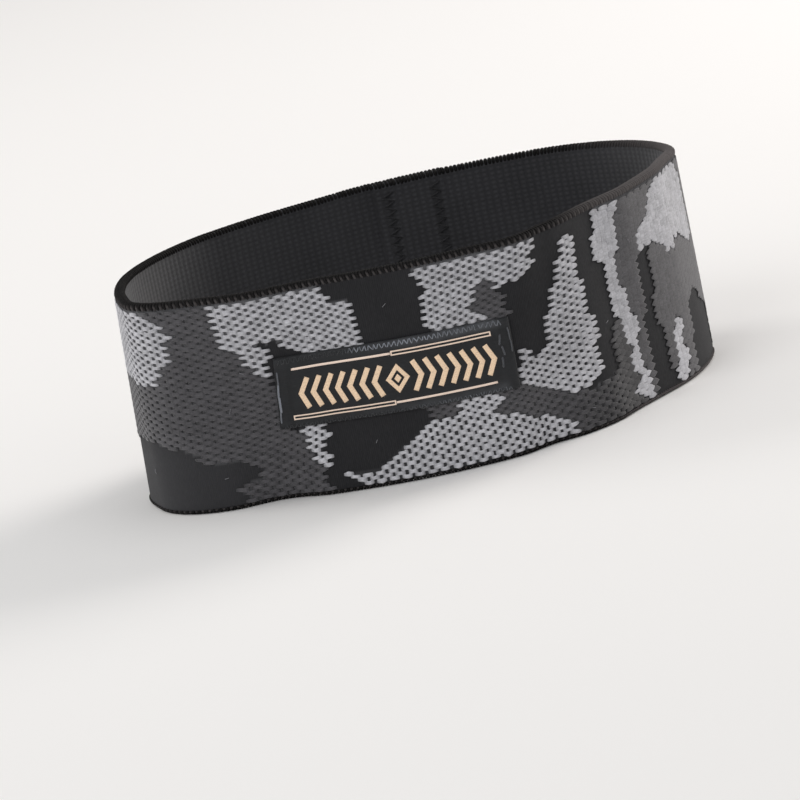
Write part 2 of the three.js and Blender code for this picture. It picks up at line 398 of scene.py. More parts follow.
class Finish:
    """A material under construction."""

    def __init__(self, name):
        self.material = bpy.data.materials.new(name)
        self.material.use_nodes = True
        self.tree = self.material.node_tree
        self.tree.nodes.clear()

    def node(self, kind, settings=None, inputs=None, output=0):
        """Adds a node. Its settings are set first, a ramp's stops among them, and then its inputs."""
        made = self.tree.nodes.new(kind)
        for name, value in (settings or {}).items():
            if name == "stops":
                self._set_stops(made.color_ramp, value)
            else:
                setattr(made, name, value)
        for name, value in (inputs or {}).items():
            if isinstance(value, Socket):
                self.tree.links.new(value.source, made.inputs[name])
            else:
                made.inputs[name].default_value = value
        return Socket(self, made.outputs[output]) if made.outputs else None

    @staticmethod
    def _set_stops(ramp, stops):
        while len(ramp.elements) < len(stops):
            ramp.elements.new(1)
        for element, (position, value) in zip(ramp.elements, stops, strict=True):
            element.position = position
            element.color = (value, value, value, 1)

    def ramp(self, value, stops):
        """A value led through stops of (position, value)."""
        return self.node("ShaderNodeValToRGB", {"stops": stops}, {0: value})

    def attribute(self, name):
        settings = {"attribute_name": name, "attribute_type": "GEOMETRY"}
        return self.node("ShaderNodeAttribute", settings, output="Fac")

    def map(self, name):
        """A flat map of the piece, in millimetres."""
        return self.node("ShaderNodeUVMap", {"uv_map": name})

    def noise(self, place, along, across, detail=2, roughness=0.5):
        """Noise with so many changes in each unit of the place, along it and across it."""
        scaled = self.node("ShaderNodeVectorMath", {"operation": "MULTIPLY"},
                           {0: place, 1: (along, across, 1)})
        inputs = {"Vector": scaled, "Scale": 1, "Detail": detail, "Roughness": roughness}
        return self.node("ShaderNodeTexNoise", None, inputs)

    def mix(self, factor, first, second):
        """The first colour where factor is 0, and the second where it is 1."""
        first, second = (c if isinstance(c, Socket) else (*c, 1) for c in (first, second))
        inputs = {0: factor, 6: first, 7: second}
        return self.node("ShaderNodeMix", {"data_type": "RGBA"}, inputs, 2)

    def shaded(self, blend, low, high, shade):
        """The first shade where blend is low, and the second where it is high."""
        return self.mix(self.ramp(blend, [(low, 0), (high, 1)]), *shade)

    def bump(self, height, distance, strength=1.0):
        """A normal from a height of 0 to 1, which stands for that distance in millimetres."""
        inputs = {"Height": height, "Distance": distance * MM, "Strength": strength}
        return self.node("ShaderNodeBump", None, inputs)

    def surface(self, colour, roughness, normal=None, sheen=(0, 0.5), gloss=0.5, metal=0):
        """The shader itself. sheen holds its weight and its roughness."""
        inputs = {"Base Color": colour, "Roughness": roughness, "Metallic": metal,
                  "Sheen Weight": sheen[0], "Sheen Roughness": sheen[1], "Specular IOR Level": gloss}
        if normal is not None:
            inputs["Normal"] = normal
        shader = self.node("ShaderNodeBsdfPrincipled", None, inputs)
        self.node("ShaderNodeOutputMaterial", None, {"Surface": shader})
        return self.material


def shades(base, *factors):
    """The base colour made darker or lighter by each factor."""
    return [tuple(min(channel * factor, 1) for channel in base) for factor in factors]


# Pitches of the patterns in the finishes, along or up the cloth.
GROUND_RIB = 0.36
GROUND_WEFT = 1.27
REVERSE_ROW = 0.9
REVERSE_CORD = 1.42
RIBBON_RIB = 0.28
# How light the figure yarn is where it shows in the ground and in the painted sheen on the black,
# # and the painted highlight along the ribbon's edges, beside the yarn's and the ribbon's own colours.
BEHIND_SHADE = 0.3
EDGE_HIGHLIGHT_SHADE = 7


def yarn_finish(name, base, sheen):
    """Loose, many-stranded yarn: fine strands along it, each float a little lighter or darker, and
    painted shading on each float, a painted highlight on its middle and painted shade at its ends.
    """
    finish = Finish(name)
    along = finish.map("strand")
    strands = finish.noise(along, 0.55, 6.5, 3, 0.6)
    fuzz = finish.noise(along, 3, 3)
    tone, crown = finish.attribute("tone"), finish.attribute("crown")
    blend = strands * 0.36 + fuzz * 0.26 + tone * 0.1 + crown * 0.28
    return finish.surface(finish.shaded(blend, 0.34, 0.8, shades(base, 0.44, 1.7)),
                          finish.ramp(strands, [(0.2, 0.95), (0.8, 0.78)]),
                          finish.bump(strands * 0.7 + fuzz * 0.3, 0.09, 0.7), (sheen, 0.45), 0.25)


def ground_finish(base, figure):
    """The black ground: fine upright ribs of the elastic, broken by its weft, with some of the
    figure yarn's colour where that runs behind its floats, and a painted sheen that makes the
    black lighter low down at the left corner."""
    finish = Finish("ground_weave")
    place = finish.map("cloth")
    s, z = place.part("X"), place.part("Y")
    wander = finish.noise(place, 0.5, 0.22)
    ribs = (s * (math.tau / GROUND_RIB) + wander * 7).wave()
    weft = (z * (math.tau / GROUND_WEFT) + s * 1.4).wave()
    grain = finish.noise(place, 3.2, 0.8, 3, 0.6)
    patches = finish.noise(place, 0.12, 0.09)
    blend = grain * 0.5 + ribs * 0.22 + patches * 0.28
    bare = finish.shaded(blend, 0.25, 0.75, shades(base, 0.75, 1.3))
    # The figure yarn behind the floats, and the painted sheen low at the left corner.
    figured = finish.mix(finish.attribute("behind"), bare, *shades(figure, BEHIND_SHADE))
    return finish.surface(figured,
                          finish.ramp(grain, [(0.2, 0.92), (0.8, 0.74)]),
                          finish.bump(ribs * 0.45 + weft * 0.15 + grain * 0.4, 0.06, 0.6),
                          (0.06, 0.4), 0.15)


def reverse_finish(base):
    """The plain inner face: soft cords across the band, and short weft crossings on them."""
    finish = Finish("reverse_weave")
    place = finish.map("cloth")
    grain = finish.noise(place, 2.6, 1.6, 3, 0.65)
    patches = finish.noise(place, 0.1, 0.08)
    crossings = (place.part("Y") * (math.tau / REVERSE_ROW)).wave()
    cords = (place.part("X") * (math.tau / REVERSE_CORD) + grain * 0.8).wave()
    blend = grain * 0.4 + cords * crossings * 0.3 + patches * 0.3
    return finish.surface(finish.shaded(blend, 0.2, 0.7, shades(base, 0.55, 1.5)),
                          finish.ramp(grain, [(0.2, 0.95), (0.8, 0.82)]),
                          finish.bump(cords * 0.3 + crossings * 0.3 + grain * 0.4, 0.14, 0.8),
                          (0.3, 0.5), 0.25)


def ribbon_finish(base):
    """Black satin ribbon: very fine ribs from end to end, a soft gloss, and a painted highlight along its
    edges, broken up by noise.
    """
    finish = Finish("satin_ribbon")
    place = finish.map("cloth")
    threads = finish.noise(place, 0.7, 9, 3, 0.6)
    weft = (place.part("Y") * (math.tau / RIBBON_RIB)).wave()
    wear = finish.noise(place, 0.3, 0.5, 3)
    body = finish.shaded(threads * 0.6 + wear * 0.4, 0.3, 0.75, shades(base, 0.7, 1.6))
    # Painted highlight along the ribbon's edges.
    edge_highlighted = finish.mix(finish.attribute("edge") * wear, body, *shades(base, EDGE_HIGHLIGHT_SHADE))
    return finish.surface(edge_highlighted,
                          finish.ramp(wear, [(0.3, 0.5), (0.75, 0.66)]),
                          finish.bump(threads * 0.6 + weft * 0.4, 0.03, 0.6), (0.05, 0.4), 0.22)


def foil_finish(base, pale):
    """Warm metallic print, pressed into the ribbon's ribs and a little worn, and paler on the rules."""
    finish = Finish("pressed_foil")
    place = finish.map("cloth")
    ribs = finish.noise(place, 1.2, 7)
    specks = finish.noise(place, 4.5, 4.5, 3, 0.7)
    worn = finish.shaded(specks * 0.6 + ribs * 0.4, 0.3, 0.52, shades(base, 0.62, 1.08))
    return finish.surface(finish.mix(finish.attribute("pale"), worn, pale),
                          finish.ramp(specks, [(0.3, 0.5), (0.7, 0.34)]),
                          finish.bump(ribs * 0.6 + specks * 0.4, 0.03, 0.6), metal=0.15)


def thread_finish(name, base, shine, brightest=1.35):
    """Twisted thread. brightest is how much lighter than its colour it gets."""
    finish = Finish(name)
    along = finish.map("strand")
    twist = (along.part("X") * 9 + along.part("Y") * 5).wave()
    fuzz = finish.noise(along, 4, 4)
    blend = finish.attribute("tone") * 0.72 + fuzz * 0.28
    return finish.surface(finish.shaded(blend, 0.15, 0.8, shades(base, 0.12, brightest)),
                          finish.ramp(fuzz, [(0.2, 0.8 - shine), (0.8, 0.95 - shine)]),
                          finish.bump(twist * 0.6 + fuzz * 0.4, 0.06, 0.7), (shine, 0.5),
                          0.15 + shine * 0.6)


# The map that a texture is baked on. Patterns read the cloth or the strand map instead.
BAKE_MAP = "OFBake"
# On it each strand has its own seat, and keeps this share of it clear on either side.
SEAT_MARGIN = 0.05


def seat(index, count, share):
    """Where a share of a strand lies on a side of the bake map that is parted into count seats."""
    return (index + SEAT_MARGIN + (1 - 2 * SEAT_MARGIN) * share) / count


def grid(first, second):
    """A map with a point for each pair of the values."""
    return np.stack(np.meshgrid(first, second, indexing="ij"), -1)


def new_object(name, data):
    obj = bpy.data.objects.new(name, data)
    bpy.context.scene.collection.objects.link(obj)
    return obj


class Sheet:
    """Points and faces of a piece in the making, with its flat maps and values at each point."""

    def __init__(self):
        self.points = []
        self.faces = []
        self.finish_index = []
        self.maps = {}
        self.values = {}
        self.count = 0

    def add_grid(self, points, maps, values, wrap_rows=False, finish=0):
        """Adds a grid of points, whose rows are closed into rings. The rings run on from the last to
        the first, or end in a cap at each end. A map has one more column than the points, and one
        more row where the rings run on, so that it doesn't turn back there."""
        rows, columns = points.shape[:2]
        spans = (rows if wrap_rows else rows - 1, columns)
        i, j = np.indices(spans)
        finish = np.broadcast_to(finish, spans).reshape(-1)
        blocks = [(np.stack([i, i + 1, i + 1, i], -1).reshape(-1, 4),
                   np.stack([j, j, j + 1, j + 1], -1).reshape(-1, 4), finish)]
        if not wrap_rows:
            ring = np.arange(columns)[None]
            blocks += [(0 * ring, ring, finish[:1]), (0 * ring + rows - 1, ring[:, ::-1], finish[-1:])]
        for corner_i, corner_j, look in blocks:
            self.faces.append(self.count + (corner_i % rows) * columns + corner_j % columns)
            self.finish_index.append(look)
            for name, array in maps.items():
                self.maps.setdefault(name, []).append(array[corner_i, corner_j].reshape(-1, 2))
        for name, array in values.items():
            self.values.setdefault(name, []).append(np.broadcast_to(array, (rows, columns)).reshape(-1))
        self.points.append(points.reshape(-1, 3))
        self.count += rows * columns

    def piece(self, name, finishes, slot):
        """Makes the object, which rides on the band's one body."""
        mesh = bpy.data.meshes.new(name)
        points = np.concatenate(self.points)
        mesh.vertices.add(len(points))
        mesh.vertices.foreach_set("co", points.astype(np.float32).ravel())
        corners = np.concatenate([block.ravel() for block in self.faces])
        sizes = np.concatenate([np.full(len(block), block.shape[1]) for block in self.faces])
        starts = np.concatenate([[0], np.cumsum(sizes)[:-1]])
        mesh.loops.add(len(corners))
        mesh.loops.foreach_set("vertex_index", corners.astype(np.int32))
        mesh.polygons.add(len(sizes))
        mesh.polygons.foreach_set("loop_start", starts.astype(np.int32))
        mesh.polygons.foreach_set("material_index", np.concatenate(self.finish_index).astype(np.int32))
        mesh.update(calc_edges=True)
        mesh.validate()
        for map_name, blocks in self.maps.items():
            layer = mesh.uv_layers.new(name=map_name)
            layer.uv.foreach_set("vector", np.concatenate(blocks).astype(np.float32).ravel())
        for value_name, blocks in self.values.items():
            layer = mesh.attributes.new(value_name, "FLOAT", "POINT")
            layer.data.foreach_set("value", np.concatenate(blocks).astype(np.float32))
        for finish in finishes:
            mesh.materials.append(finish)
        mesh.shade_smooth()
        obj = new_object(name, mesh)
        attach(obj, BODY)
        return obj


def lengths_along(line):
    """How far along a line each of its points lies, by the first two numbers of each."""
    return np.concatenate([[0], np.cumsum(np.hypot(*np.diff(line[:, :2], axis=0).T))])


def unit(steps):
    """Directions in a plane, each brought to a length of 1."""
    return steps / np.hypot(*steps.T)[:, None]


def inside(outline, s, z):
    """Which of the points (s, z) of the chart lie inside the closed outline."""
    result = np.zeros(s.shape, bool)
    for (s0, z0), (s1, z1) in zip(outline, outline[1:] + outline[:1], strict=True):
        if z0 != z1:
            crosses = (z < z0) != (z < z1)
            result ^= crosses & (s < s0 + (z - z0) * (s1 - s0) / (z1 - z0))
    return result


# The light floats of a patch stay this far inside it, because each is longer than its column.
FLOAT_MARGIN = 0.33


def yarn_at(s, z):
    """The yarn that the chart shows at each of the points (s, z)."""
    strip = (s - LAP.start) % LOOP + LAP.start - LOOP
    place = (strip - CHART_ZERO) % CHART_REPEAT
    yarn = np.full(s.shape, BLACK, dtype="<U5")
    for patch in CHART:
        margin = FLOAT_MARGIN if patch.yarn == LIGHT else 0
        for turn in (-CHART_REPEAT, 0):
            left, right = (inside(patch.outline, place + turn + side, z) for side in (-margin, margin))
            yarn[left & right] = patch.yarn
    return yarn


# The figure yarns also run behind their floats, and show in the gaps between them: how far, at each
# height for the light yarn. At the edges of a patch, up to this margin, the ground is bare.
BEHIND_LIGHT = ([0, 14, 24, 40], [0.3, 0.35, 1, 1])
BEHIND_GREY = 0.7
BEHIND_MARGIN = 0.95
# The black is painted lighter low down at the left corner, a painted sheen: how far, at each place along
# the loop and height.
PAINTED_SHEEN_ALONG = ([12, 30, 44, 280, 300], [0.2, 0.14, 0, 0, 0.2])
PAINTED_SHEEN_UP = ([10, 20], [1, 0])


def yarn_behind_and_sheen(s, z):
    """How much of the light yarn's colour shows in the ground at each of the points (s, z): where it
    runs behind the floats, and as a painted sheen on the black low down at the left corner.
    """
    left, right = (yarn_at(s + side, z) for side in (-BEHIND_MARGIN, BEHIND_MARGIN))
    light = (left == LIGHT) & (right == LIGHT)
    figured = (left != BLACK) & (right != BLACK)
    # Painted sheen: the black is made lighter low down at the left corner.
    painted_sheen = np.interp(s, *PAINTED_SHEEN_ALONG, period=LOOP) * np.interp(z, *PAINTED_SHEEN_UP)
    return np.where(light, np.interp(z, *BEHIND_LIGHT), np.where(figured, BEHIND_GREY, painted_sheen))


# The columns of floats are set closer together round the label, which holds the elastic in: at each
# place along the loop, the share of the way from the wide to the narrow pitch.
GATHER = ([14, 24, 32, 40, 46, 84, 92, 98, 108], [0, 0.3, 0.5, 0.75, 1, 1, 0.7, 0.3, 0])
# It also pulls the columns towards it halfway up, so that they bend.
PULL = ([8, 24, 40, 52, 66, 78, 90, 100, 112, 128], [0, 1.2, 3, 2.2, 0, -2, -3.4, -3.2, -1.6, 0])
# How far past the join the first column stands, and how far before it the last one stays.
FIRST_COLUMN = 1.6
LAST_COLUMN = 1.4


def column_places(webbing):
    """Where the columns of floats stand at the rims, from the join once round to the join again."""
    wide, narrow = mm(webbing.column_pitch), mm(webbing.narrow_pitch)
    places = []
    s = LAP.start + FIRST_COLUMN
    while s < LAP.start + LOOP - LAST_COLUMN:
        places.append(s)
        s += wide + (narrow - wide) * np.interp(s % LOOP, *GATHER)
    return np.array(places)


# The lower rows are set wider apart. ROW_FOOT is the lowest row, and ROW_TOP limits the highest.
LOWER_ROWS = 9.0
LOWER_PITCH = 1.5
ROW_FOOT = 1.22
ROW_TOP = 38.4


def row_places(webbing):
    """Heights of the floats and of the gaps between them, by turns."""
    places = []
    z = ROW_FOOT
    while z <= ROW_TOP:
        places.append(z)
        z += (LOWER_PITCH if z < LOWER_ROWS else mm(webbing.row_pitch)) / 2
    return np.array(places)


# How much wider a float gets on either side of its middle, where it lies beside its neighbours, and
# how much wider it is in its middle too. Both are a little less in the lower rows.
FLOAT_FLARE = 0.62
MIDDLE_SPREAD = {LIGHT: 0, GREY: 0.24}
FLARE_BY_HEIGHT = ([0, 10, 20], [0.9, 0.93, 1])
# Some gaps are partly filled, because their floats are spread in the middle by up to so much.
STRAY_SPREAD = 0.9
# The lower floats are a little wider, and painted lighter, a painted light against the shade low down: how
# far, at each height.
LOWER_WIDTH = ([8, 10], [1.04, 1])
LOWER_PAINTED_LIGHT = ([8, 16], [0.7, 0])
# The grey is darker low down on the right: how far, at each place along the loop and height.
SHADED_ALONG = ([92, 106, 117, 119.5], [0, 2, 3, 0])
SHADED_UP = ([12, 18], [1, 0])
# Where the band is less stretched, the floats spread out and the gaps close: how far, at each place
# along the loop, how much further on for the grey ones, and how much longer, wider and lower a float
# is there.
CLOSING = ([10, 100, 113, 200, 240, 300], [0, 0, 1, 1, 0.4, 0.1])
GREY_DELAY = 4.0
CLOSED_LENGTH = 1.15
CLOSED_FLARE = 0.95
CLOSED_SPREAD = 1.6
CLOSED_HEIGHT = 0.5
# The floats lean a little, by so many degrees at each place along the loop.
LEAN = ([33, 39, 46, 60, 72], [-5, 3, 3, -1, 0])

Floats = namedtuple("Floats", "s z yarn half_length slant closed spread column row")


def float_spread(there, yarn, closed):
    """How much wider each float gets left of its middle, at its middle and right of it, below its
    line and above it. It only widens towards a float of its own yarn."""
    padded = np.pad(there, 2)
    kinds = np.pad(yarn, 2, constant_values=BLACK)
    columns, rows = there.shape
    spread = np.zeros((columns, rows, 3, 2))
    side = FLOAT_FLARE + (CLOSED_FLARE - FLOAT_FLARE) * closed
    middle = np.where(yarn == GREY, MIDDLE_SPREAD[GREY], MIDDLE_SPREAD[LIGHT])
    middle = middle + (CLOSED_SPREAD - middle) * closed
    for place, step in enumerate((-1, 0, 1)):
        for half, up in enumerate((-1, 1)):
            over = up if step else 2 * up
            window = (slice(2 + step, 2 + step + columns), slice(2 + over, 2 + over + rows))
            meets = padded[window] & (kinds[window] == yarn)
            spread[:, :, place, half] = meets * (side if step else middle)
    return spread


def woven_floats(webbing):
    """Every float of the figure: alternate columns stand half a row higher, which gives a net."""
    places = column_places(webbing)[:, None]
    rows = row_places(webbing)[None]
    halfway = 0.5 * (1 - np.cos(2 * np.pi * rows / BAND_WIDTH))
    s = places + np.interp(places % LOOP, *PULL) * halfway
    pitch = np.gradient(s, axis=0)
    z = np.broadcast_to(rows, s.shape)
    column, row = np.indices(s.shape)
    yarn = yarn_at(s, z)
    s = s % LOOP
    kept = ((column + row) % 2 == 0) & (yarn != BLACK) & ~under_label(s, z)
    closed = np.interp(s - GREY_DELAY * (yarn == GREY), *CLOSING, period=LOOP)
    half_length = webbing.float_length / 2 * pitch * (1 + (CLOSED_LENGTH - 1) * closed)
    whole = Floats(s, z, yarn, half_length, np.interp(s, *LEAN), closed,
                   float_spread(kept, yarn, closed), column, row)
    return Floats(*(values[kept] for values in whole))


# One float, from its middle to its end: the place along it, its width where the floats stand apart
# and where they close, how much is added there of its middle's spread and of its side's, and its
# height. Where they close, a free end is pointed.
Station = namedtuple("Station", "place width closed_width middle aside height")
FLOAT_HALF = [Station(0, 1, 1, 1, 0, 1), Station(0.27, 1, 0.98, 0.78, 0.25, 1),
              Station(0.45, 1, 0.92, 0.5, 1, 1), Station(0.88, 0.92, 0.5, 0.05, 0.95, 0.75),
              Station(1, 0.6, 0.12, 0, 0.35, 0.25)]
FLOAT_STATIONS = ([station._replace(place=-station.place) for station in FLOAT_HALF[:0:-1]]
                  + FLOAT_HALF)
# Its section, as shares of half its width and half its height: a broad low crown on a flat foot.
FLOAT_PROFILE = [(1, -0.1), (0.8, 0.6), (0.35, 0.95), (-0.35, 0.95), (-0.8, 0.6), (-1, -0.1),
                 (-0.5, -0.8), (0.5, -0.8)]
# It is let down by this share of its arch, and its girth is so many times half its width.
FLOAT_SINK = 0.6
FLOAT_GIRTH = 6
# Its lightness is painted: it falls from 1 at its middle to 0 at its ends, a painted highlight on
# # the crown and painted shade where it dives. Where the floats close, it comes nearer to one value,
# # by this share of the way.
CROWN = 0.6
CLOSED_CROWN = 0.7
# On the strand map each strand lies so far along and across from the one before, so that no two
# look alike.
STRAND_SHIFT = (7.3, 3.1)
RIB_SHIFT = (5.7, 2.3)


def add_floats(sheet, face, s, z, half_length, half_width, height, slant, tone, bed, arch=0.5,
               spread=0.0, closed=0.0, column=None, row=0, columns=None, rows=1):
    """Adds short strands that lie on a face and dive into it at both ends. s has a value for each,
    and what follows it has one for each or one for all, in millimetres and degrees. closed is how far
    the cloth is closed there, from 0 to 1. column and row are the strand's seat on the bake map, which
    has so many columns and rows."""
    count = len(s)
    spread = np.broadcast_to(spread, (count, 3, 2))
    column = np.arange(count) if column is None else column
    each = np.broadcast_arrays(s, z, half_length, half_width, height, slant, tone, closed, column, row)
    u, open_width, closed_width, middle, aside, depth = np.array(FLOAT_STATIONS).T[:, :, None]
    across, up = np.array(FLOAT_PROFILE + FLOAT_PROFILE[:1]).T[:, None]
    u, turn = np.broadcast_arrays(u, np.linspace(0, 1, across.shape[1])[None])
    side = np.where(u > 0, 2, 0)
    half = np.broadcast_to(np.where(across > 0, 1, 0), u.shape)
    lift = arch * (1 - u * u - FLOAT_SINK) + depth * up * 0.5
    for k, values in enumerate(zip(*each, strict=True)):
        s, z, half_length, half_width, height, slant, tone, closed, column, row = values
        wider = spread[k][1, half] * middle + spread[k][side, half] * aside
        width = open_width + (closed_width - open_width) * closed + wider
        lengthwise, sideways = half_length * u, half_width * width * across
        cos, sin = math.cos(math.radians(slant)), math.sin(math.radians(slant))
        points = face(s + lengthwise * cos - sideways * sin, z + lengthwise * sin + sideways * cos,
                      bed + height * lift)
        strand = np.stack([lengthwise, turn * FLOAT_GIRTH * half_width], -1) + np.multiply(STRAND_SHIFT, k)
        bake = np.stack([seat(column, columns or count, (u + 1) / 2), seat(row, rows, turn)], -1)
        # Painted highlight on the float's middle, and painted shade at its ends.
        crown = CROWN + (1 - u[:, :-1] ** 2 - CROWN) * (1 - CLOSED_CROWN * closed)
        sheet.add_grid(points[:, :-1], {"strand": strand, BAKE_MAP: bake}, {"tone": tone, "crown": crown})


# The ground's steps along the loop, up each face and round a rim. Its rims are round from this
# height, and stay this far inside the band's.
GROUND_STEP = 0.5
FACE_ROWS = 56
REVERSE_ROWS = 40
RIM_ROWS = 7
RIM_HEIGHT = 1.0
RIM_INSET = 0.22
# A cut edge at the join rises from its foot, which lies this far before it.
CUT_FOOT = 0.05


def ground_section(depth):
    """The ground's closed section as height, place from the outer face and share of the thickness,
    and which of its steps have the black finish, 0, or the plain one, 1."""
    low, high = RIM_HEIGHT, BAND_WIDTH - RIM_HEIGHT
    half_wall = (CLOTH - depth) / 2
    face = [(z, -depth, 0) for z in np.linspace(low, high, FACE_ROWS)]
    rim = [(high + (RIM_HEIGHT - RIM_INSET) * math.sin(a), half_wall * (math.cos(a) - 1) - depth,
            (1 - math.cos(a)) / 2) for a in np.linspace(0, np.pi, RIM_ROWS + 2)[1:-1]]
    reverse = [(z, -CLOTH, 1) for z in np.linspace(high, low, REVERSE_ROWS)]
    foot = [(BAND_WIDTH - z, out, share) for z, out, share in rim][::-1]
    half_rim = RIM_ROWS // 2
    look = np.repeat([0, 1, 0], [FACE_ROWS + half_rim, REVERSE_ROWS + half_rim + 1, RIM_ROWS])
    return np.array(face + rim + reverse + foot), look


class BAND_OT_ground(bpy.types.Operator):
    """Weave the ground of the elastic, a closed wall with the black face outside"""

    bl_idname = "bicep_band.ground"
    bl_label = "Ground of the webbing"

    def execute(self, context):
        webbing = context.scene.band_webbing
        section, look = ground_section(mm(webbing.ground_depth))
        cuts = [edge + end for edge in (LAP.start, LAP_END) for end in (-CUT_FOOT, LAP.edge)]
        plain = np.linspace(0, LOOP, round(LOOP / GROUND_STEP) + 1)
        s = np.sort(np.concatenate([plain[:-1], cuts]))[:, None]
        points = cloth.across(s, *section.T)
        behind = yarn_behind_and_sheen(*np.broadcast_arrays(s, section[:, 0]))
        around = lengths_along(np.concatenate([section, section[:1]])) + RIM_HEIGHT
        cloth_map = grid([*s[:, 0], LOOP], around)
        maps = {"cloth": cloth_map, BAKE_MAP: cloth_map / (LOOP, around[-1])}
        sheet = Sheet()
        sheet.add_grid(points, maps, {"behind": behind}, wrap_rows=True, finish=look)
        finishes = [ground_finish(webbing.ground_colour, webbing.light_colour),
                    reverse_finish(webbing.reverse_colour)]
        piece = sheet.piece("webbing_cloth", finishes, WEBBING_SLOT)
        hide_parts("webbing")
        return {"FINISHED"}


# The floats are made in a front and a back half, which part at these places.
BACK_START = 150.0
BACK_END = 302.0
# How far their middle line stands out from the face, and how much longer and lower the grey ones
# are. Of the lower rows' painted light, and of the stray spread, the grey ones have this share.
FLOAT_BED = 0.06
GREY_LENGTH = 1.12
GREY_HEIGHT = 0.8
GREY_SHARE = 0.5


class BAND_OT_figure(bpy.types.Operator):
    """Weave the light and the grey floats that draw the camouflage"""

    bl_idname = "bicep_band.figure"
    bl_label = "Figured floats"

    def execute(self, context):
        webbing = context.scene.band_webbing
        floats = woven_floats(webbing)
        random = np.random.default_rng(11)
        count = len(floats.s)
        if not count:
            raise RuntimeError("the chart has no figured yarn")
        grey = floats.yarn == GREY
        share = np.where(grey, GREY_SHARE, 1)
        lower_width, lower_painted_light, flare, shaded = (
            np.interp(floats.z, *table) for table in (LOWER_WIDTH, LOWER_PAINTED_LIGHT, FLARE_BY_HEIGHT, SHADED_UP))
        strands = {
            "s": floats.s + random.normal(0, 0.04, count),
            "z": floats.z + random.normal(0, 0.03, count),
            "half_length": (floats.half_length * random.normal(1, 0.035, count)
                            * np.where(grey, GREY_LENGTH, 1)),
            "half_width": mm(webbing.float_width) / 2 * random.normal(1, 0.05, count) * lower_width,
            "height": (mm(webbing.float_height) * random.normal(1, 0.08, count)
                       * np.where(grey, GREY_HEIGHT, 1) * (1 - CLOSED_HEIGHT * floats.closed)),
            "slant": floats.slant + random.normal(0, 3, count),
            # The tone carries painted light in the lower rows, and painted shade on the grey low down at
            # the right.
            "tone": (random.random(count) + lower_painted_light * share
                     - grey * np.interp(floats.s, *SHADED_ALONG) * shaded),
            "spread": floats.spread * flare[:, None, None],
            "closed": floats.closed,
            "column": floats.column,
            "row": floats.row,
        }
        strands["spread"][:, 1] += STRAY_SPREAD * random.random((count, 2)) ** 4 * share[:, None]
        finishes = {LIGHT: yarn_finish("light_yarn", webbing.light_colour, 0.35),
                    GREY: yarn_finish("grey_yarn", webbing.grey_colour, 0.3)}
        front = (floats.s - BACK_END) % LOOP < BACK_START + LOOP - BACK_END
        for yarn, finish in finishes.items():
            for side, there in (("front", front), ("back", ~front)):
                pick = (floats.yarn == yarn) & there
                sheet = Sheet()
                add_floats(sheet, cloth.outer, bed=FLOAT_BED, columns=floats.column.max() + 1,
                           rows=floats.row.max() + 1,
                           **{name: values[pick] for name, values in strands.items()})
                sheet.piece(f"{yarn}_yarn_{side}", [finish], WEBBING_SLOT)
        return {"FINISHED"}


# A thread round a rim: it leaves the outer face at outer_leg below the rim, goes over it in a bend
# of this height, and ends inside, at inner_leg below it.
RIB_SIDES = 6
RIB_FLATNESS = 0.62
RIB_BEND = 0.62
Rim = namedtuple("Rim", "name outer_leg inner_leg")
RIMS = [Rim("selvedge_upper", 1.45, 1.3), Rim("selvedge_lower", 0.88, 1.2)]
# At so much from the end of a leg, the thread lies so deep in the cloth, and is so thick. Over the
# rim its middle line stays a little inside the faces.
RIB_END = [(0, 0.3, 0.55), (0.3, 0.08, 0.95)]
RIB_INSET = 0.02
RIB_STEPS = 9
# Further down than this the threads lean along the face by so much for each millimetre. Every other
# one turns light there, within LIGHT_REACH, and all are dark on the rim itself.
RIB_TOP = 0.35
RIB_LEAN = 0.3
RIB_LIGHT = 0.44
RIB_DARK = 0.03
LIGHT_REACH = 0.45
# At the right the threads are painted paler, a painted sheen: how far, at each place along the loop.
RIB_PAINTED_SHEEN = ([100, 116, 150, 190], [0, 0.6, 1, 0])
RIB_SHEEN_TONE = 0.9


def rib_places(webbing):
    """Where the threads stand that wrap the rims: one on each column of floats, and one between."""
    columns = np.concatenate([[LAP.start], column_places(webbing), [LAP.start + LOOP]])
    return np.stack([columns[:-1], (columns[:-1] + columns[1:]) / 2], 1).ravel()


def rib_line(rim, radius):
    """The middle line of a thread round the upper rim: height, place from the outer face, share of
    the thickness that it has crossed, and its own thickness."""
    top = BAND_WIDTH - radius
    half = CLOTH / 2
    arc = [(top - RIB_BEND + RIB_BEND * math.sin(a), (half - RIB_INSET) * math.cos(a) - half,
            (1 - math.cos(a)) / 2, 1) for a in np.linspace(0, np.pi, RIB_STEPS)]
    start = [(BAND_WIDTH - rim.outer_leg + up, -deep, 0, thick) for up, deep, thick in RIB_END]
    finish = [(BAND_WIDTH - rim.inner_leg + up, deep - CLOTH, 1, thick) for up, deep, thick in RIB_END]
    return np.array(start + arc + finish[::-1])


